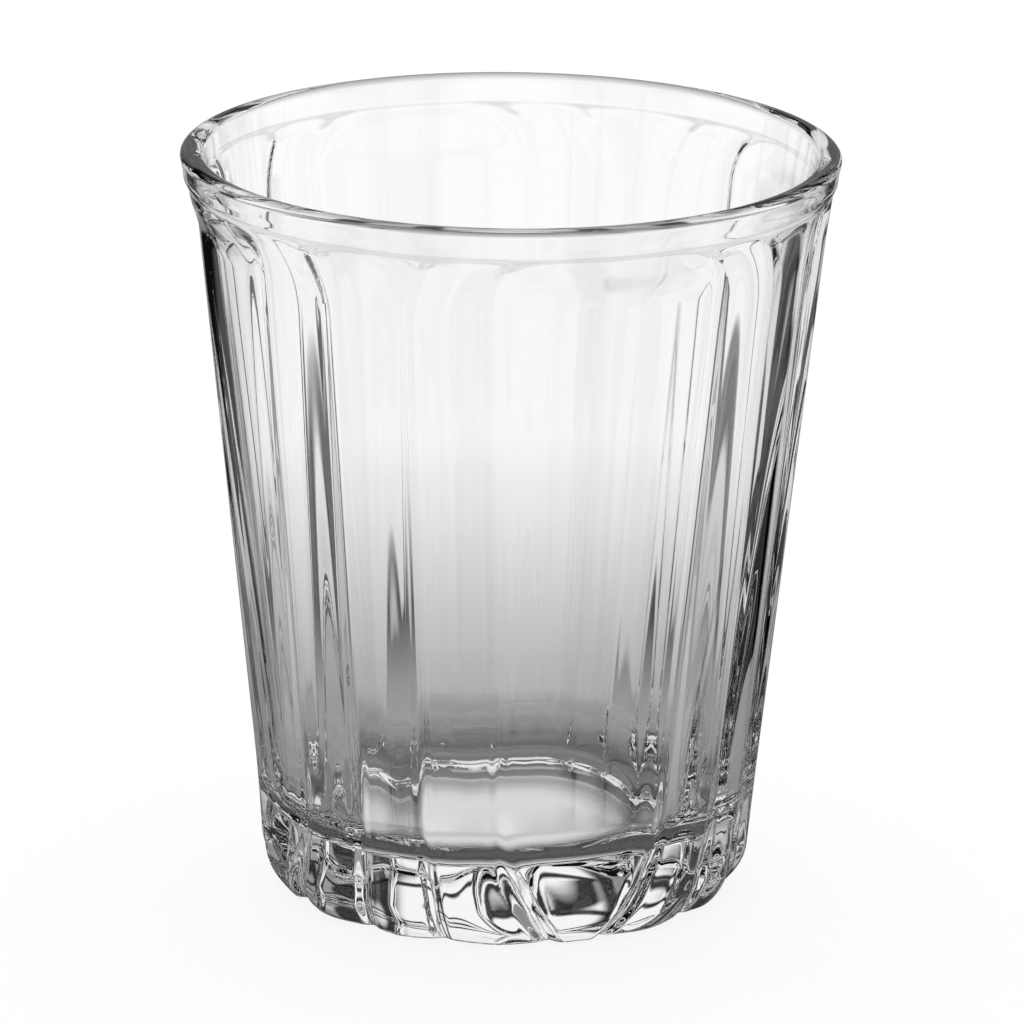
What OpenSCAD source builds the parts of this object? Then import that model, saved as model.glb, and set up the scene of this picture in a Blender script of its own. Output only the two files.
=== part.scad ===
// Pressed juice tumbler: one piece of clear glass with a heavy base, a rounded lip and
// soft grooves that divide its wall into wide and narrow plates. Millimetres, +Z up,
// with the origin on the table at the middle of the foot and the front towards -Y.

/* [Glass] */
// Overall height
height = 83; // [70:1:120]
// Outside diameter over the lip
rim_d = 72; // [64:1:96]
// Diameter that the sloping wall would have at the table, without the rounded heel
wall_foot_d = 54; // [46:1:62]
// Height of the inside floor above the table
base_t = 8; // [5:0.5:14]
// Radius between the inside floor and the inside wall
floor_r = 6; // [3:0.5:12]
// Wall thickness where the floor's radius ends
wall_low_t = 5.3; // [3.5:0.1:8]

/* [Lip] */
// Radius of the rounded lip
lip_r = 1.3; // [1:0.1:2]
// How far the lip stands out from the wall's slope
lip_proud = 0.2; // [0:0.05:0.6]

/* [Foot] */
// Height at which the wall starts to turn in to the heel
heel_h = 4; // [2:0.5:5]
// Radius of the heel
heel_r = 6; // [6:0.5:14]
// Diameter of the shallow hollow underneath
hollow_d = 40; // [24:1:44]
// Depth of the hollow
hollow_depth = 0.8; // [0.3:0.1:2]
// Width of the sloping edge round the hollow
hollow_edge = 2.5; // [1:0.5:6]

/* [Plates] */
// Number of wide plates round the wall
wide_count = 4; // [3:1:5]
// Number of narrow plates between two wide ones
narrow_count = 3; // [2:1:4]
// Angle that a wide plate takes at its top corners
wide_angle = 44; // [30:1:54]
// Angle that a wide plate takes at toe_h
wide_angle_low = 40; // [26:1:54]
// Angle from the front to the middle of the first wide plate
first_plate = 19; // [-45:1:45]
// Height of the plain band, from the tops of the plates to the top of the lip
band_h = 3.4; // [3:0.1:12]
// Radius of a wide plate's top corners
corner_r = 5.5; // [2:0.5:9]
// Height above which the sides of the plates run straight
toe_h = 18; // [8:1:24]
// Radius of the sides of a wide plate below that height
toe_r = 27; // [24:1:60]
// How far the plates lie below the plain band
ledge = 0.35; // [0.1:0.05:0.8]
// Height of the slope between the plain band and the plates
ledge_h = 1; // [0.4:0.1:1.2]

/* [Wide faces] */
// Radius of a wide plate's face, which is flatter than the wall
face_r = 70; // [60:1:120]
// How far the middle of a face lies below the round of the plates, near its top
face_sink = 1.3; // [0.6:0.1:1.8]
// How far it lies below them at the table
face_sink_foot = 0.4; // [0.2:0.1:0.8]
// Height of the slope at the top of a face
face_rise = 6; // [3:0.5:10]

/* [Grooves] */
// Width of the grooves between the plates
groove_w = 2.2; // [1:0.1:3]
// Depth of the grooves in the wall
groove_depth = 0.5; // [0.2:0.05:1]
// Depth of the grooves at the table
foot_notch = 0.8; // [0.1:0.05:1.2]
// Height above which the grooves keep their wall depth
groove_rise = 14; // [10:1:24]

/* [Hidden] */
$fn = 128;
// How far a cutting shape runs past the glass
past = 1;
// Number of straight steps in each bend of a groove
bend_steps = 6;
// Number of straight steps across a wide plate's face
face_steps = 8;

rim_r = rim_d / 2;
lip_z = height - lip_r;
plate_top = height - band_h;
ledge_z = plate_top - ledge_h / 2;

// Outside wall: its slope, its lean from upright, and its radius and that of the plates at a height
wall_slope = (rim_r - lip_proud - wall_foot_d / 2) / lip_z;
wall_lean = atan(wall_slope);
function wall(z) = wall_foot_d / 2 + wall_slope * z;
function plate(z) = wall(z) - ledge;

// Heel circle: it touches the wall's slope at heel_h and meets the table at foot_r
heel_x = plate(heel_h) - heel_r * cos(wall_lean);
heel_z = heel_h + heel_r * sin(wall_lean);
foot_r = heel_x + sqrt(pow(heel_r, 2) - pow(heel_z, 2));

// Inside wall: it runs from the lip's inside edge to where the floor's radius ends
floor_z = base_t + floor_r;
inside_top = rim_r - 2 * lip_r;
inside_low = wall(floor_z) - wall_low_t;
inside_slope = (inside_top - inside_low) / (lip_z - floor_z);
inside_lean = atan(inside_slope);
function inside(z) = inside_low + inside_slope * (z - floor_z);
floor_x = inside_low - floor_r / cos(inside_lean);

// Plates: the angles between grooves at mid height, and at both ends, where they are even
narrow_angle = (360 / wide_count - wide_angle) / narrow_count;
even_angle = 360 / wide_count / (narrow_count + 1);
corner_z = plate_top - corner_r;

// Middle line of a wide plate's face: its radius at both ends, and its lean from upright
face_z = plate_top - face_rise;
face_top = plate(face_z) - face_sink;
face_foot = plate(0) - face_sink_foot;
face_lean = atan((face_top - face_foot) / face_z);

// Half of a section that slopes straight from one radius to another, from the axis outwards
module section(low_r, low_z, high_r, high_z) {
    polygon([[0, low_z], [low_r, low_z], [high_r, high_z], [0, high_z]]);
}

// Outside of the glass at the level of the plates, with its heel and lip
module plate_level() {
    rotate_extrude() {
        difference() {
            polygon([
                [0, 0], [plate(0), 0],
                [plate(ledge_z), ledge_z], [wall(ledge_z + ledge_h), ledge_z + ledge_h],
                [wall(lip_z), lip_z], [0, lip_z]
            ]);
            difference() {
                translate([heel_x, -past]) square([heel_r + past, heel_h + past]);
                translate([heel_x, heel_z]) circle(heel_r);
            }
        }
        translate([rim_r - lip_r, lip_z]) circle(lip_r);
    }
}

// What is left at the bottom of the grooves
module groove_level() {
    rise_r = plate(groove_rise) - groove_depth;
    low_slope = (rise_r - foot_r + foot_notch) / groove_rise;
    low_r = foot_r - foot_notch - low_slope * 2 * past;
    rotate_extrude() {
        section(low_r, -2 * past, rise_r, groove_rise);
        section(rise_r, groove_rise, plate(height) - groove_depth, height);
    }
}

// Middle line of the groove on one side of a wide plate, seen from straight in front of the
// plate: an arc up to toe_h, a straight run, and an arc round the top corner
function wide_path() =
    let (
        low_x = wall(toe_h) * sin(wide_angle_low / 2),
        high_x = wall(corner_z) * sin(wide_angle / 2),
        foot_turn = asin((toe_h + past) / toe_r)
    )
    concat(
        [for (i = [0 : bend_steps])
            let (turn = foot_turn * (i / bend_steps - 1))
            [low_x + toe_r * (cos(turn) - 1), toe_h + toe_r * sin(turn)]],
        [for (i = [0 : bend_steps])
            let (turn = 90 * i / bend_steps)
            [high_x + corner_r * (cos(turn) - 1), corner_z + corner_r * sin(turn)]]
    );

// Middle line of a groove between two narrow plates, which bends by an angle at both ends
function narrow_path(bend) =
    let (
        top_x = wall(plate_top) * sin(bend),
        foot_x = wall(0) * sin(bend)
    )
    concat(
        [for (i = [0 : bend_steps])
            let (left = 1 - i / bend_steps)
            [foot_x * left * left, toe_h - (toe_h + past) * left]],
        [for (i = [0 : bend_steps])
            let (done = i / bend_steps)
            [top_x * done * done, corner_z + corner_r * done]]
    );

// Direction of a path at one of its points, and the path moved sideways
function ahead(path, i) =
    let (step = path[min(i + 1, len(path) - 1)] - path[max(i - 1, 0)])
    step / norm(step);
function moved(path, by) =
    [for (i = [0 : len(path) - 1]) path[i] + by * [ahead(path, i)[1], -ahead(path, i)[0]]];

// Cuts a groove along a path, facing outwards at an angle from the front, down to the groove level
module groove(path, angle) {
    outline = concat(
        moved(path, groove_w / 2),
        [for (i = [len(path) - 1 : -1 : 0]) moved(path, -groove_w / 2)[i]]
    );
    difference() {
        rotate([0, 0, angle]) rotate([90, 0, 0]) translate([0, 0, inside_low])
            linear_extrude(rim_r + past - inside_low) polygon(outline);
        groove_level();
    }
}

// All grooves round the wall
module grooves() {
    mirrored = [[-1, 0], [0, 1]];
    for (wide = [0 : wide_count - 1]) {
        middle = first_plate + wide * 360 / wide_count;
        groove(wide_path(), middle);
        groove([for (point = wide_path()) mirrored * point], middle);
        for (next = [1 : narrow_count - 1]) {
            at_middle = wide_angle / 2 + next * narrow_angle;
            at_ends = even_angle * (next + 0.5);
            groove(narrow_path(at_ends - at_middle), middle + at_middle);
        }
    }
}

// Cuts the face of a wide plate, which faces outwards at an angle from the front: all that lies
// outside a round of face_r, up to a slope that ends just below the ledge
module wide_face(angle) {
    end_z = plate_top - ledge_h;
    half_x = plate(plate_top) * sin(wide_angle / 2) + past;
    half_turn = asin(half_x / face_r);
    slope = (plate(end_z) - face_top) / (end_z - face_z);
    outline = concat(
        [for (i = [0 : face_steps])
            let (turn = half_turn * (2 * i / face_steps - 1))
            [face_r * sin(turn), face_r * (1 - cos(turn))]],
        [[half_x, -rim_r / 2], [-half_x, -rim_r / 2]]
    );
    rotate([0, 0, angle]) difference() {
        translate([0, -face_foot, 0]) rotate([face_lean, 0, 0]) translate([0, 0, -3 * past])
            linear_extrude(height + 3 * past) polygon(outline);
        rotate([90, 0, -90]) translate([0, 0, -half_x - past]) linear_extrude(2 * half_x + 2 * past) {
            section(face_top - slope * (face_z + 9 * past), -9 * past,
                    face_top + slope * (ledge_z - face_z), ledge_z);
            section(rim_r + past, ledge_z, rim_r + past, height + 9 * past);
        }
    }
}

// Faces of all wide plates
module wide_faces() {
    for (wide = [0 : wide_count - 1]) wide_face(first_plate + wide * 360 / wide_count);
}

// Space inside the glass
module inside_space() {
    rotate_extrude() {
        polygon([
            [0, base_t], [floor_x, base_t], [floor_x, floor_z],
            [floor_x + floor_r * cos(inside_lean), floor_z - floor_r * sin(inside_lean)],
            [inside(lip_z), lip_z], [inside(lip_z), height + past], [0, height + past]
        ]);
        translate([floor_x, floor_z]) circle(floor_r);
    }
}

// Shallow hollow underneath, which leaves a ring to stand on
module foot_hollow() {
    hollow_r = hollow_d / 2;
    rotate_extrude() {
        section(hollow_r, -past, hollow_r, 0);
        section(hollow_r, 0, hollow_r - hollow_edge, hollow_depth);
    }
}

module tumbler() {
    color([0.88, 0.91, 0.91], 0.45)
        difference() {
            plate_level();
            grooves();
            wide_faces();
            difference() {
                inside_space();
                rotate_extrude() translate([rim_r - lip_r, lip_z]) circle(lip_r);
            }
            foot_hollow();
        }
}

tumbler();
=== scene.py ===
"""Clear pressed-glass juice tumbler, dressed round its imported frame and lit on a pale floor."""

import logging
import math
from dataclasses import dataclass
from enum import Enum

import bpy
import numpy as np
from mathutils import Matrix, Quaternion, Vector

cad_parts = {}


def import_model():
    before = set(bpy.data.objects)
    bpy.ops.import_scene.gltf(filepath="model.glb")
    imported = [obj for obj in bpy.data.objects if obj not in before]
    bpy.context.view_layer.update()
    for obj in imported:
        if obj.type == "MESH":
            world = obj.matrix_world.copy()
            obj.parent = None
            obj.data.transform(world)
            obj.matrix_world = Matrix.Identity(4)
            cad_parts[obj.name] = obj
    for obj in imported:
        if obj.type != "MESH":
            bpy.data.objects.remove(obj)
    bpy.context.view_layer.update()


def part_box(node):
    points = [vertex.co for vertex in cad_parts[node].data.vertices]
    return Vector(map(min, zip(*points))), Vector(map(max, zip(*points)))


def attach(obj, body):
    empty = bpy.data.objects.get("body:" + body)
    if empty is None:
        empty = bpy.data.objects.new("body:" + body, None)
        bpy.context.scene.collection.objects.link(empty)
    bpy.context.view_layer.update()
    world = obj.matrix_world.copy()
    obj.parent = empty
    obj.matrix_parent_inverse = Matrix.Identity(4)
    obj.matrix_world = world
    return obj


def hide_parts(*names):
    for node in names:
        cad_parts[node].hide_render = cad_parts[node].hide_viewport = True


MM = 0.001
LOG = logging.getLogger("tumbler")


class Ray(Enum):
    """Kinds of ray that a stage material tells apart."""

    CAMERA = "Is Camera Ray"
    GLOSSY = "Is Glossy Ray"
    TRANSMISSION = "Is Transmission Ray"


def smooth(share: np.ndarray) -> np.ndarray:
    """Eases a share from 0 to 1 with level ends.

    Args:
        share: values, of which those outside 0 to 1 are cut off.

    Returns:
        The eased values.
    """
    held = np.clip(share, 0.0, 1.0)
    return held * held * (3.0 - 2.0 * held)


def deselect_all() -> None:
    """Leaves nothing selected, so that an operator acts on new pieces alone."""
    bpy.ops.object.select_all(action="DESELECT")


def add_node(tree: bpy.types.NodeTree, kind: str, **settings: object) -> bpy.types.Node:
    """Adds a shader node.

    Args:
        tree: node tree that gets the node.
        kind: type name of the node.
        settings: properties of the node to set.

    Returns:
        The new node.
    """
    node = tree.nodes.new(kind)
    for name, value in settings.items():
        setattr(node, name, value)
    return node


@dataclass(frozen=True)
class ClearGlass:
    """Finish of polished pressed glass, with the faint ripple that a mould leaves."""

    name: str = "clear_glass"
    colour: tuple[float, float, float, float] = (0.99, 0.985, 0.98, 1.0)
    index: float = 1.52
    ripple_scale: float = 110.0
    ripple_detail: float = 1.0
    ripple_height: float = 0.004 * MM
    ripple_strength: float = 0.15

    def material(self) -> bpy.types.Material:
        """Makes the glass material.

        Returns:
            A material with a clear Principled shader and a rippled surface.
        """
        made = bpy.data.materials.new(self.name)
        made.use_nodes = True
        tree = made.node_tree
        shader = tree.nodes["Principled BSDF"]
        shader.inputs["Base Color"].default_value = self.colour
        shader.inputs["Transmission Weight"].default_value = 1.0
        shader.inputs["Roughness"].default_value = 0.0
        shader.inputs["IOR"].default_value = self.index
        place = add_node(tree, "ShaderNodeTexCoord")
        ripple = add_node(tree, "ShaderNodeTexNoise")
        ripple.inputs["Scale"].default_value = self.ripple_scale
        ripple.inputs["Detail"].default_value = self.ripple_detail
        bump = add_node(tree, "ShaderNodeBump")
        bump.inputs["Strength"].default_value = self.ripple_strength
        bump.inputs["Distance"].default_value = self.ripple_height
        tree.links.new(place.outputs["Object"], ripple.inputs["Vector"])
        tree.links.new(ripple.outputs["Fac"], bump.inputs["Height"])
        tree.links.new(bump.outputs["Normal"], shader.inputs["Normal"])
        return made


@dataclass
class Tumbler:
    """One-piece tumbler: a spun wall, base and lip, with plates pressed into the outside.

    Angles are in degrees and turn from the front, which faces -Y, towards +X.
    """

    # Wall, base and lip
    height: float
    rim_radius: float
    wall_foot_radius: float = 27.0 * MM
    base_thickness: float = 8.0 * MM
    floor_radius: float = 6.0 * MM
    low_wall: float = 5.3 * MM
    lip_radius: float = 1.3 * MM
    lip_cap: float = 0.75 * MM
    lip_proud: float = 0.2 * MM
    lip_start: float = 188.0
    lip_end: float = -12.0

    # Heel and foot
    heel_height: float = 4.3 * MM
    heel_radius: float = 6.0 * MM
    hollow_radius: float = 20.0 * MM
    hollow_depth: float = 0.8 * MM
    hollow_edge: float = 2.5 * MM

    # Lines between the plates
    wide_count: int = 4
    first_plate: float = 19.0
    wide_half_top: float = 22.0
    wide_half_low: float = 20.0
    narrow_line: float = 37.3
    narrow_line_top: float = 32.0
    narrow_line_foot: float = 34.5
    narrow_bend: float = 8.5 * MM
    band_height: float = 3.4 * MM
    corner_radius: float = 5.5 * MM
    toe_height: float = 18.0 * MM
    toe_radius: float = 27.0 * MM

    # Grooves, and the roundness of the plates
    groove_width: float = 1.3 * MM
    groove_width_heel: float = 1.4 * MM
    groove_depth: float = 0.22 * MM
    groove_depth_heel: float = 0.6 * MM
    groove_rise: float = 16.0 * MM
    foot_fade: float = 2.5 * MM
    foot_share: float = 0.75
    wide_flat: float = 0.55
    crown: float = 0.4 * MM
    crown_heel: float = 0.9 * MM
    wide_crown_start: float = 0.6
    ledge: float = 0.35 * MM
    ledge_height: float = 1.0 * MM
    groove_fade: float = 1.8 * MM
    flat_fade: float = 6.0 * MM

    # Spacing of the mesh
    columns: int = 640
    floor_steps: int = 18
    lip_steps: int = 20
    hollow_steps: int = 8
    close_rows: float = 0.25 * MM
    toe_rows: float = 0.75 * MM
    wall_rows: float = 4.0 * MM
    heel_zone: float = 6.45 * MM
    merge_reach: float = 0.0005 * MM
    match_reach: float = 0.01 * MM

    @property
    def lip_height(self) -> float:
        """Height of the middle of the lip's bead."""
        return self.height - self.lip_radius

    @property
    def wall_top(self) -> float:
        """Height of the top row of points of the outside wall, just under the lip."""
        return self.lip_height - self.lip_radius / 2.0

    @property
    def plate_top(self) -> float:
        """Height of the tops of the plates."""
        return self.height - self.band_height

    @property
    def corner_height(self) -> float:
        """Height at which a wide plate's top corners start."""
        return self.plate_top - self.corner_radius

    def wall(self, z: float | np.ndarray) -> float | np.ndarray:
        """Radius of the sloping outside wall at a height."""
        top = self.rim_radius - self.lip_proud
        return self.wall_foot_radius + (top - self.wall_foot_radius) * z / self.lip_height

    def pad(self, z: float | np.ndarray) -> float | np.ndarray:
        """Radius at the level of the plates at a height, with the rounded heel."""
        below = np.clip(self.heel_height - z, 0.0, self.heel_height)
        return self.wall(z) - self.heel_radius + np.sqrt(self.heel_radius**2 - below**2)

    def inner_points(self) -> list[tuple[float, float]]:
        """Works out the inside of the profile.

        Returns:
            Radius and height of points from the middle of the floor to the lip's inside edge.
        """
        low_z = self.base_thickness + self.floor_radius
        low_r = float(self.wall(low_z)) - self.low_wall
        top_r = self.rim_radius - 2.0 * self.lip_radius
        lean = math.atan2(top_r - low_r, self.lip_height - low_z)
        centre = low_r - self.floor_radius / math.cos(lean)
        points = [(0.0, self.base_thickness), (centre / 2.0, self.base_thickness)]
        for step in range(self.floor_steps + 1):
            turn = (math.pi / 2.0 - lean) * step / self.floor_steps
            r = centre + self.floor_radius * math.sin(turn)
            points.append((r, low_z - self.floor_radius * math.cos(turn)))
        return points

    def lip_points(self) -> list[tuple[float, float]]:
        """Works out the lip's bead.

        Returns:
            Radius and height of points from its inside edge over the top to its outside.
        """
        start = math.radians(self.lip_start)
        end = math.radians(self.lip_end)
        points = []
        for step in range(self.lip_steps + 1):
            turn = start + (end - start) * step / self.lip_steps
            r = self.rim_radius - self.lip_radius * (1.0 - math.cos(turn))
            points.append((r, self.height - self.lip_cap * (1.0 - math.sin(turn))))
        return points

    def outer_heights(self) -> list[float]:
        """Works out the heights of the rings of points down the outside wall.

        Returns:
            Heights from just under the lip to the table, close where the plates curve.
        """
        bend = self.plate_top - self.narrow_bend - self.groove_width
        zones = [
            (self.wall_top, bend, self.close_rows),
            (bend, self.toe_height, self.wall_rows),
            (self.toe_height, self.heel_zone, self.toe_rows),
            (self.heel_zone, 0.0, self.close_rows),
        ]
        heights = []
        for high, low, step in zones:
            count = max(1, round((high - low) / step))
            heights += [high + (low - high) * i / count for i in range(count)]
        return heights + [0.0]

    def foot_points(self) -> list[tuple[float, float]]:
        """Works out the underside.

        Returns:
            Radius and height of points from the ring that the glass stands on to the axis.
        """
        points = [(self.hollow_radius, 0.0)]
        for step in range(1, self.hollow_steps + 1):
            share = step / self.hollow_steps
            r = self.hollow_radius - self.hollow_edge * share
            points.append((r, self.hollow_depth * float(smooth(np.array(share)))))
        points.append(((self.hollow_radius - self.hollow_edge) / 2.0, self.hollow_depth))
        points.append((0.0, self.hollow_depth))
        return points

    def profile(self) -> list[Vector]:
        """Joins the stretches of the profile into one line.

        Returns:
            Places from the middle of the inside floor to the middle of the underside.
        """
        outer = [(float(self.pad(z)), z) for z in self.outer_heights()]
        points = self.inner_points() + self.lip_points() + outer + self.foot_points()
        return [Vector((0.0, -r, z)) for r, z in points]

    def wide_sides(self) -> tuple[float, float]:
        """Works out how wide a wide plate is.

        Returns:
            Half of its width at the toe, and at the top corners.
        """
        low = self.wall(self.toe_height) * math.radians(self.wide_half_low)
        high = self.wall(self.corner_height) * math.radians(self.wide_half_top)
        return low, high

    def straight_share(self, z: np.ndarray) -> np.ndarray:
        """Share of the way up the straight sides of the plates, from the toe to the top corners."""
        return (z - self.toe_height) / (self.corner_height - self.toe_height)

    def plate_lines(self, z: np.ndarray) -> tuple[np.ndarray, np.ndarray]:
        """Finds the groove lines at each height, as angles from the middle of a wide plate.

        Args:
            z: heights.

        Returns:
            The angle of a wide plate's edge, and of the groove between two narrow plates.
        """
        low_x, high_x = self.wide_sides()
        edge = low_x + (high_x - low_x) * np.clip(self.straight_share(z), 0.0, 1.0)
        below = np.clip(self.toe_height - z, 0.0, self.toe_radius)
        edge -= self.toe_radius - np.sqrt(self.toe_radius**2 - below**2)
        above = np.clip(z - self.corner_height, 0.0, self.corner_radius)
        edge -= self.corner_radius - np.sqrt(self.corner_radius**2 - above**2)
        top = np.clip((z - self.plate_top) / self.narrow_bend + 1.0, 0.0, 1.0) ** 2
        foot = np.clip(1.0 - z / self.toe_height, 0.0, 1.0) ** 2
        line = self.narrow_line + (self.narrow_line_top - self.narrow_line) * top
        line += (self.narrow_line_foot - self.narrow_line) * foot
        return np.degrees(edge / self.wall(z)), line

    def wide_distance(self, x: np.ndarray, z: np.ndarray) -> np.ndarray:
        """Measures how far points lie from the groove down a wide plate's side.

        Args:
            x: distances round the wall from the middle of the plate.
            z: heights.

        Returns:
            Distances to the groove's middle line, with a round end at the plate's top.
        """
        low_x, high_x = self.wide_sides()
        side = np.abs(x - low_x - (high_x - low_x) * self.straight_share(z))
        toe = np.hypot(x - low_x + self.toe_radius, z - self.toe_height)
        toe = np.abs(toe - self.toe_radius)
        corner_x = high_x - self.corner_radius
        corner = np.hypot(x - corner_x, z - self.corner_height)
        corner = np.abs(corner - self.corner_radius)
        end = np.hypot(x - corner_x, z - self.plate_top)
        top = np.where(x < corner_x, end, corner)
        return np.where(z > self.corner_height, top, np.where(z < self.toe_height, toe, side))

    def pressed(self, angle: np.ndarray, z: np.ndarray) -> np.ndarray:
        """Works out the radius of the outside with its plates and grooves.

        Args:
            angle: angles from the front, in degrees.
            z: heights.

        Returns:
            The radius at each point.
        """
        sector = 360.0 / self.wide_count
        offset = np.abs((angle - self.first_plate + sector / 2.0) % sector - sector / 2.0)
        edge, line = self.plate_lines(z)
        pad = self.pad(z)
        low = smooth(1.0 - z / self.groove_rise)
        under_top = smooth((self.plate_top - z) / self.groove_fade)
        in_wide = offset < edge
        in_next = (offset >= edge) & (offset < line)
        middle = np.where(in_wide, 0.0, np.where(in_next, (edge + line) / 2.0, sector / 2.0))
        half = np.where(in_wide, edge, np.where(in_next, (line - edge) / 2.0, sector / 2.0 - line))
        across = np.abs(offset - middle) / half
        chord = pad * np.cos(np.radians(half)) / np.cos(np.radians(offset - middle))
        flat = np.where(in_wide, self.wide_flat * (pad - chord), 0.0)
        flat *= smooth((self.plate_top - z) / self.flat_fade)
        round_off = np.where(
            in_wide,
            smooth((across - self.wide_crown_start) / (1.0 - self.wide_crown_start)),
            0.5 - 0.5 * np.cos(math.pi * across),
        )
        crown = (self.crown + (self.crown_heel - self.crown) * low) * round_off
        arc = np.radians(offset) * self.wall(z)
        narrow = np.abs(offset - line) * np.radians(1.0) * self.wall(z)
        near = np.minimum(self.wide_distance(arc, z), narrow)
        width = self.groove_width + (self.groove_width_heel - self.groove_width) * low
        depth = self.groove_depth + (self.groove_depth_heel - self.groove_depth) * low
        groove = depth * (1.0 - smooth(near / width))
        foot = smooth(self.foot_share + (1.0 - self.foot_share) * z / self.foot_fade)
        step = self.ledge * smooth((self.plate_top - z) / self.ledge_height + 0.5)
        return pad - flat - (crown + groove) * foot * under_top - step

    def model(self) -> bpy.types.Object:
        """Spins the profile and presses the plates into its outside.

        Returns:
            The finished mesh object, at the origin.
        """
        deselect_all()
        line = self.profile()
        bpy.ops.mesh.primitive_circle_add(vertices=len(line), radius=self.rim_radius)
        piece = bpy.context.active_object
        piece.name = "tumbler_glass"
        piece.data.name = "tumbler_glass"
        for point, place in zip(piece.data.vertices, line):
            point.co = place
        ends = {0, len(line) - 1}
        bpy.ops.object.mode_set(mode="EDIT")
        bpy.ops.mesh.select_mode(type="EDGE")
        bpy.ops.mesh.select_all(action="DESELECT")
        bpy.ops.object.mode_set(mode="OBJECT")
        for edge in piece.data.edges:
            edge.select = set(edge.vertices) == ends
        bpy.ops.object.mode_set(mode="EDIT")
        bpy.ops.mesh.delete(type="EDGE")
        bpy.ops.object.mode_set(mode="OBJECT")
        turn = piece.modifiers.new("turn", "SCREW")
        turn.axis = "Z"
        turn.angle = 2.0 * math.pi
        turn.steps = self.columns
        turn.render_steps = self.columns
        bpy.ops.object.modifier_apply(modifier=turn.name)
        bpy.ops.object.mode_set(mode="EDIT")
        bpy.ops.mesh.select_all(action="SELECT")
        bpy.ops.mesh.remove_doubles(threshold=self.merge_reach)
        bpy.ops.mesh.normals_make_consistent(inside=False)
        bpy.ops.object.mode_set(mode="OBJECT")
        self.press(piece)
        bpy.ops.object.shade_smooth()
        return piece

    def press(self, piece: bpy.types.Object) -> None:
        """Moves the points of the outside wall to the shape of the plates and grooves.

        Args:
            piece: the spun glass, whose mesh is changed.
        """
        places = np.empty(len(piece.data.vertices) * 3)
        piece.data.vertices.foreach_get("co", places)
        places = places.reshape(-1, 3)
        radius = np.hypot(places[:, 0], places[:, 1])
        height = places[:, 2]
        on_wall = np.abs(radius - self.pad(height)) < self.match_reach
        outside = on_wall & (height < self.wall_top + self.match_reach)
        angle = np.degrees(np.arctan2(places[outside, 0], -places[outside, 1]))
        share = self.pressed(angle, height[outside]) / radius[outside]
        places[outside, 0] *= share
        places[outside, 1] *= share
        piece.data.vertices.foreach_set("co", places.ravel())
        piece.data.update()

    def dress(self, piece: bpy.types.Object, finish: ClearGlass) -> None:
        """Gives the glass its finish and ties it to the frame.

        Args:
            piece: the finished mesh object.
            finish: the finish of the glass.
        """
        piece.data.materials.clear()
        piece.data.materials.append(finish.material())
        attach(piece, "root")
        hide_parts("tumbler")


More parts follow.
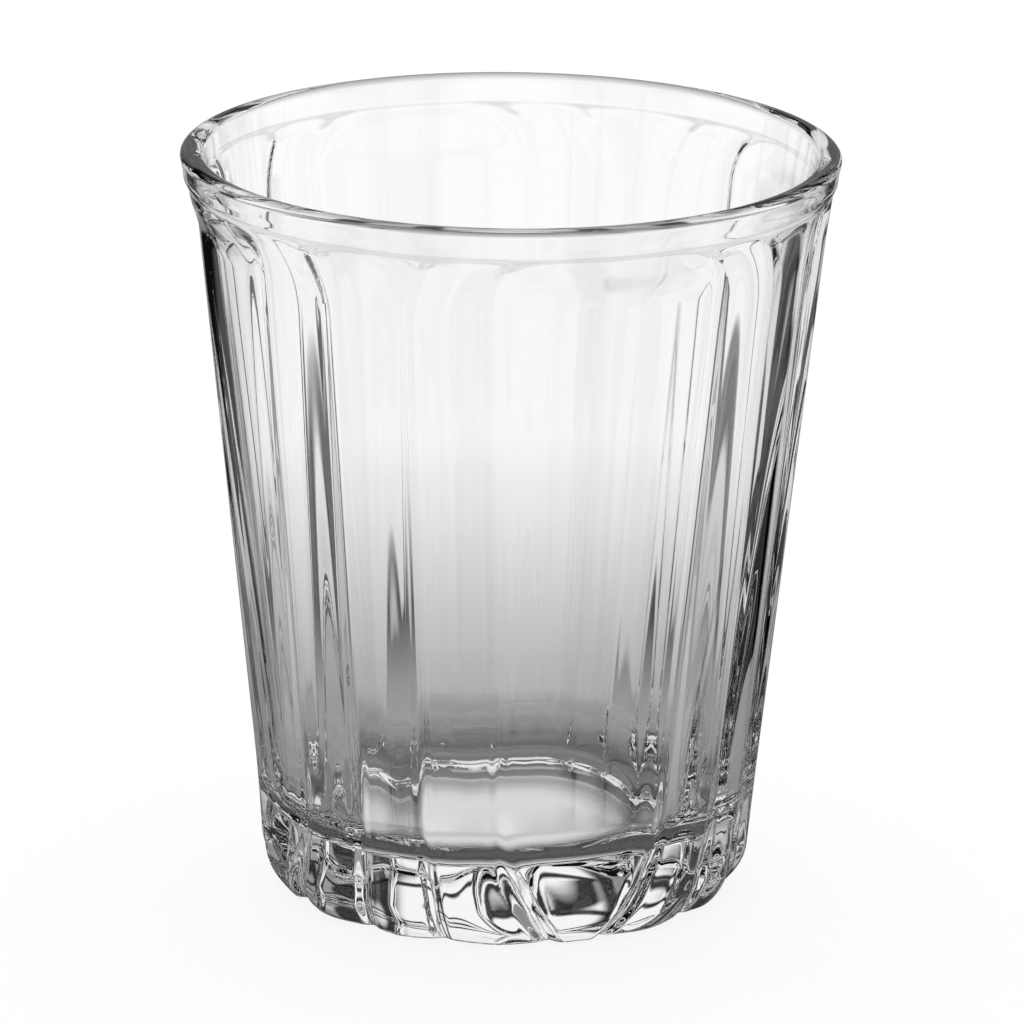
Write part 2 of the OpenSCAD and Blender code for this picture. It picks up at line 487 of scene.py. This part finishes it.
@dataclass
class Studio:
    """Pale floor, soft surroundings and the camera at the photograph's angle.

    The camera sees a white floor and background. The glass sees four bright windows round it, with
    dark strips between them and a dimmer window between each two strips. On the floor, which the glass
    sees, the strips and windows are painted shade and light, and a painted shadow darkens it near the
    glass.
    """

    # Camera, with its lens and picture centre in pixels of the photograph
    picture: float = 1024.0
    sensor: float = 36.0
    focal_pixels: float = 8180.0
    centre_x: float = 507.5
    centre_y: float = 483.0
    distance: float = 0.9
    elevation: float = 16.5
    roll: float = 0.61
    aim_height: float = 45.0 * MM

    # Floor, and its levels at distances from the middle of the glass: a painted shadow of the glass,
    # dark in a ring under the heel and paler further off, seen by the glass only
    floor_half: float = 3.0
    floor_drop: float = 0.2 * MM
    ramp_reach: float = 300.0 * MM
    floor_shadow_levels: tuple[tuple[float, float], ...] = (
        (0.0 * MM, 0.8),
        (10.0 * MM, 0.7),
        (18.0 * MM, 0.08),
        (27.0 * MM, 0.06),
        (33.0 * MM, 0.25),
        (60.0 * MM, 0.46),
        (105.0 * MM, 0.68),
        (140.0 * MM, 0.84),
        (190.0 * MM, 1.0),
    )

    # Strips, at angles from the middle of a window and distances along the floor; on the floor the
    # dark strips are painted shade and the dimmer windows between them painted light
    windows: int = 4
    windows_turn: float = math.radians(0.5)
    strip_start: float = math.radians(22.0)
    strip_full: float = math.radians(26.0)
    strip_end: float = math.radians(34.0)
    strip_gone: float = math.radians(38.0)
    strip_level: float = 0.03
    strip_near: float = 35.0 * MM
    strip_near_end: float = 100.0 * MM
    strip_far: float = 240.0 * MM
    strip_far_end: float = 420.0 * MM
    strip_far_loss: float = math.radians(8.0)
    strip_back: float = 600.0 * MM
    strip_back_end: float = 900.0 * MM
    strip_back_gain: float = math.radians(14.0)
    between_level: float = 0.7

    # Surroundings, with heights as the sine of the elevation
    sky_strip_start: float = math.radians(16.0)
    sky_strip_full: float = math.radians(26.0)
    sky_between_level: float = 0.35
    sky_between_horizon: float = 0.74
    sky_between_low: float = math.sin(math.radians(6.0))
    sky_between_high: float = math.sin(math.radians(12.0))
    sky_strip_top: float = math.sin(math.radians(31.0))
    sky_strip_gone: float = math.sin(math.radians(45.0))
    sky_levels: tuple[tuple[float, float], ...] = (
        (math.sin(math.radians(0.0)), 1.0),
        (math.sin(math.radians(5.0)), 0.75),
        (math.sin(math.radians(10.0)), 1.0),
        (math.sin(math.radians(18.5)), 1.0),
        (math.sin(math.radians(20.3)), 0.03),
        (math.sin(math.radians(22.2)), 0.03),
        (math.sin(math.radians(24.0)), 1.0),
        (math.sin(math.radians(40.0)), 0.85),
    )

    # Levels that the kinds of ray see
    plain_level: float = 0.8
    gloss_share: float = 0.35
    shadow_share: float = 0.15

    # Lamp, and the limit to bounces
    lamp_size: float = 1.0
    lamp_height: float = 0.9
    lamp_back: float = 0.35
    lamp_power: float = 4.0
    bounces: int = 8

    def camera(self) -> None:
        """Makes the camera and hands it to the scene."""
        rise = math.radians(self.elevation)
        aim = Vector((0.0, 0.0, self.aim_height))
        place = aim + self.distance * Vector((0.0, -math.cos(rise), math.sin(rise)))
        lens = bpy.data.cameras.new("camera")
        lens.sensor_width = self.sensor
        lens.lens = self.focal_pixels / self.picture * self.sensor
        lens.shift_x = (self.picture / 2.0 - self.centre_x) / self.picture
        lens.shift_y = (self.centre_y - self.picture / 2.0) / self.picture
        camera = bpy.data.objects.new("camera", lens)
        camera.location = place
        camera.rotation_mode = "QUATERNION"
        turned = Quaternion((0.0, 0.0, 1.0), math.radians(self.roll))
        camera.rotation_quaternion = (aim - place).to_track_quat("-Z", "Y") @ turned
        bpy.context.scene.collection.objects.link(camera)
        bpy.context.scene.camera = camera

    def ease(self, tree: bpy.types.NodeTree, value: bpy.types.NodeSocket, start: float, full: float,
             low: float = 0.0, high: float = 1.0) -> bpy.types.NodeSocket:
        """Adds a node that eases from one level to another.

        Args:
            tree: node tree that gets the node.
            value: what the level follows.
            start: value at which the level leaves low.
            full: value at which the level reaches high.
            low: level before start.
            high: level after full.

        Returns:
            The socket with the level.
        """
        node = add_node(tree, "ShaderNodeMapRange", interpolation_type="SMOOTHSTEP")
        node.inputs["From Min"].default_value = start
        node.inputs["From Max"].default_value = full
        node.inputs["To Min"].default_value = low
        node.inputs["To Max"].default_value = high
        tree.links.new(value, node.inputs["Value"])
        return node.outputs["Result"]

    def calculate(self, tree: bpy.types.NodeTree, operation: str,
                  *values: bpy.types.NodeSocket | float) -> bpy.types.NodeSocket:
        """Adds a math node.

        Args:
            tree: node tree that gets the node.
            operation: what the node works out.
            values: sockets or numbers to work on.

        Returns:
            The socket with the result.
        """
        node = add_node(tree, "ShaderNodeMath", operation=operation)
        for place, value in zip(node.inputs, values):
            if isinstance(value, bpy.types.NodeSocket):
                tree.links.new(value, place)
            else:
                place.default_value = value
        return node.outputs["Value"]

    def ramp(self, tree: bpy.types.NodeTree, value: bpy.types.NodeSocket, reach: float,
             stops: tuple[tuple[float, float], ...]) -> bpy.types.NodeSocket:
        """Adds a ramp of grey levels.

        Args:
            tree: node tree that gets the nodes.
            value: what the level follows.
            reach: value at the ramp's far end.
            stops: pairs of a value and its level.

        Returns:
            The socket with the level.
        """
        node = add_node(tree, "ShaderNodeValToRGB")
        elements = node.color_ramp.elements
        while len(elements) < len(stops):
            elements.new(1.0)
        for element, (place, level) in zip(elements, stops):
            element.position = place / reach
            element.color = (level, level, level, 1.0)
        tree.links.new(self.calculate(tree, "DIVIDE", value, reach), node.inputs["Fac"])
        return node.outputs["Color"]

    def window_angle(self, tree: bpy.types.NodeTree, parts: bpy.types.Node) -> bpy.types.NodeSocket:
        """Adds nodes that fold the turn about the glass at the middles of the windows.

        Args:
            tree: node tree that gets the nodes.
            parts: node that gives X and Y.

        Returns:
            The socket with the angle from the middle of the nearest window, in radians.
        """
        turn = self.calculate(tree, "ARCTAN2", parts.outputs["X"], parts.outputs["Y"])
        turn = self.calculate(tree, "ADD", turn, self.windows_turn)
        return self.calculate(tree, "PINGPONG", turn, math.pi / self.windows)

    def seen(self, tree: bpy.types.NodeTree, pattern: bpy.types.NodeSocket) -> bpy.types.NodeSocket:
        """Adds nodes that sort the rays: white to the camera, the pattern to glass, plain to the rest.

        Args:
            tree: node tree that gets the nodes.
            pattern: level that reflected and refracted rays see.

        Returns:
            The socket with the strength.
        """
        path = add_node(tree, "ShaderNodeLightPath")
        gloss = path.outputs[Ray.GLOSSY.value]
        clear = path.outputs[Ray.TRANSMISSION.value]
        either = self.calculate(tree, "MAXIMUM", gloss, clear)
        other = self.calculate(tree, "SUBTRACT", 1.0, either)
        plain = self.calculate(tree, "MULTIPLY", other, self.plain_level)
        mirrored = self.calculate(tree, "MULTIPLY", gloss, self.gloss_share)
        shown = self.calculate(tree, "MAXIMUM", clear, mirrored)
        through = self.calculate(tree, "MULTIPLY_ADD", shown, pattern, plain)
        return self.calculate(tree, "MAXIMUM", path.outputs[Ray.CAMERA.value], through)

    def surroundings(self) -> None:
        """Makes the world: white to the camera, with dark strips and a thin dark ring to the glass."""
        world = bpy.data.worlds.new("studio")
        world.use_nodes = True
        bpy.context.scene.world = world
        tree = world.node_tree
        place = add_node(tree, "ShaderNodeTexCoord")
        parts = add_node(tree, "ShaderNodeSeparateXYZ")
        tree.links.new(place.outputs["Generated"], parts.inputs["Vector"])
        turn = self.window_angle(tree, parts)
        strip = self.ease(tree, turn, self.sky_strip_start, self.sky_strip_full, 1.0, self.strip_level)
        between = self.ease(tree, turn, self.strip_end, self.strip_gone)
        dimmer = self.ease(tree, parts.outputs["Z"], self.sky_between_low, self.sky_between_high,
                           self.sky_between_horizon, self.sky_between_level)
        between = self.calculate(tree, "MULTIPLY", between, dimmer)
        above = self.ease(tree, parts.outputs["Z"], self.sky_strip_top, self.sky_strip_gone)
        strip = self.calculate(tree, "MAXIMUM", strip, between)
        strip = self.calculate(tree, "MAXIMUM", strip, above)
        levels = self.ramp(tree, parts.outputs["Z"], 1.0, self.sky_levels)
        pattern = self.calculate(tree, "MULTIPLY", strip, levels)
        background = tree.nodes["Background"]
        background.inputs["Color"].default_value = (1.0, 1.0, 1.0, 1.0)
        tree.links.new(self.seen(tree, pattern), background.inputs["Strength"])

    def floor_painted_light(self, tree: bpy.types.NodeTree) -> bpy.types.NodeSocket:
        """Adds nodes for the floor's painted light and shade: a painted shadow near the glass, with
        painted dark strips.

        Args:
            tree: node tree that gets the nodes.

        Returns:
            The socket with the level that the glass sees.
        """
        place = add_node(tree, "ShaderNodeTexCoord")
        reach = add_node(tree, "ShaderNodeVectorMath", operation="LENGTH")
        parts = add_node(tree, "ShaderNodeSeparateXYZ")
        tree.links.new(place.outputs["Object"], reach.inputs[0])
        tree.links.new(place.outputs["Object"], parts.inputs["Vector"])
        away = reach.outputs["Value"]
        turn = self.window_angle(tree, parts)
        loss = self.ease(tree, away, self.strip_far, self.strip_far_end, 0.0, self.strip_far_loss)
        gain = self.ease(tree, away, self.strip_back, self.strip_back_end, 0.0, self.strip_back_gain)
        moved = self.calculate(tree, "SUBTRACT", turn, loss)
        moved = self.calculate(tree, "ADD", moved, gain)
        # Painted shade: dark strips on the floor beside each window, with painted dimmer light between
        # them
        strip = self.ease(tree, moved, self.strip_start, self.strip_full, 1.0, self.strip_level)
        between = self.ease(tree, turn, self.strip_end, self.strip_gone, 0.0, self.between_level)
        close = self.ease(tree, away, self.strip_near, self.strip_near_end, 1.0, 0.0)
        strip = self.calculate(tree, "MAXIMUM", strip, between)
        strip = self.calculate(tree, "MAXIMUM", strip, close)
        # Painted shadow of the glass: the floor is darker near it and white far off
        levels = self.ramp(tree, away, self.ramp_reach, self.floor_shadow_levels)
        return self.calculate(tree, "MULTIPLY", strip, levels)

    def floor_material(self) -> bpy.types.Material:
        """Makes the floor's material.

        Returns:
            A material that is white with a soft shadow to the camera, and painted light and shade to
            the glass.
        """
        made = bpy.data.materials.new("pale_floor")
        made.use_nodes = True
        tree = made.node_tree
        tree.nodes.clear()
        out = add_node(tree, "ShaderNodeOutputMaterial")
        painted_glow = add_node(tree, "ShaderNodeEmission")
        matt = add_node(tree, "ShaderNodeBsdfDiffuse")
        white = add_node(tree, "ShaderNodeEmission")
        both = add_node(tree, "ShaderNodeAddShader")
        path = add_node(tree, "ShaderNodeLightPath")
        kind = add_node(tree, "ShaderNodeMixShader")
        shade = self.shadow_share
        matt.inputs["Color"].default_value = (shade, shade, shade, 1.0)
        white.inputs["Strength"].default_value = 1.0 - shade
        # The glass sees the floor's painted shadow and painted strips as emission
        tree.links.new(self.seen(tree, self.floor_painted_light(tree)), painted_glow.inputs["Strength"])
        tree.links.new(white.outputs["Emission"], both.inputs[0])
        tree.links.new(matt.outputs["BSDF"], both.inputs[1])
        tree.links.new(path.outputs[Ray.CAMERA.value], kind.inputs["Fac"])
        tree.links.new(painted_glow.outputs["Emission"], kind.inputs[1])
        tree.links.new(both.outputs["Shader"], kind.inputs[2])
        tree.links.new(kind.outputs["Shader"], out.inputs["Surface"])
        return made

    def floor(self) -> None:
        """Lays the floor just below the foot."""
        deselect_all()
        bpy.ops.mesh.primitive_plane_add(size=2.0 * self.floor_half,
                                         location=(0.0, 0.0, -self.floor_drop))
        floor = bpy.context.active_object
        floor.name = "floor"
        floor.data.materials.append(self.floor_material())

    def lamp(self) -> None:
        """Hangs one soft lamp over the glass, a little behind it."""
        light = bpy.data.lights.new("soft_lamp", "AREA")
        light.shape = "SQUARE"
        light.size = self.lamp_size
        light.energy = self.lamp_power
        lamp = bpy.data.objects.new("soft_lamp", light)
        lamp.location = (0.0, self.lamp_back, self.lamp_height)
        lamp.rotation_mode = "QUATERNION"
        lamp.rotation_quaternion = (-lamp.location).to_track_quat("-Z", "Y")
        lamp.visible_glossy = False
        lamp.visible_transmission = False
        bpy.context.scene.collection.objects.link(lamp)

    def settings(self) -> None:
        """Sets the colour view, and a limit to bounces that leaves long paths in the wall dark."""
        scene = bpy.context.scene
        scene.view_settings.view_transform = "Standard"
        scene.cycles.max_bounces = self.bounces
        scene.cycles.transmission_bounces = self.bounces
        scene.cycles.glossy_bounces = self.bounces

    def build(self) -> None:
        """Makes the whole stage."""
        self.camera()
        self.surroundings()
        self.floor()
        self.lamp()
        self.settings()


def main() -> None:
    """Builds the stage and the glass."""
    logging.basicConfig(level=logging.INFO, format="%(name)s: %(message)s")
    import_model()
    low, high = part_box("tumbler")
    glass = Tumbler(height=high.z - low.z, rim_radius=(high.x - low.x) / 2.0)
    Studio().build()
    piece = glass.model()
    glass.dress(piece, ClearGlass())
    LOG.info("%s: %d faces", piece.name, len(piece.data.polygons))


if __name__ == "__main__":
    main()
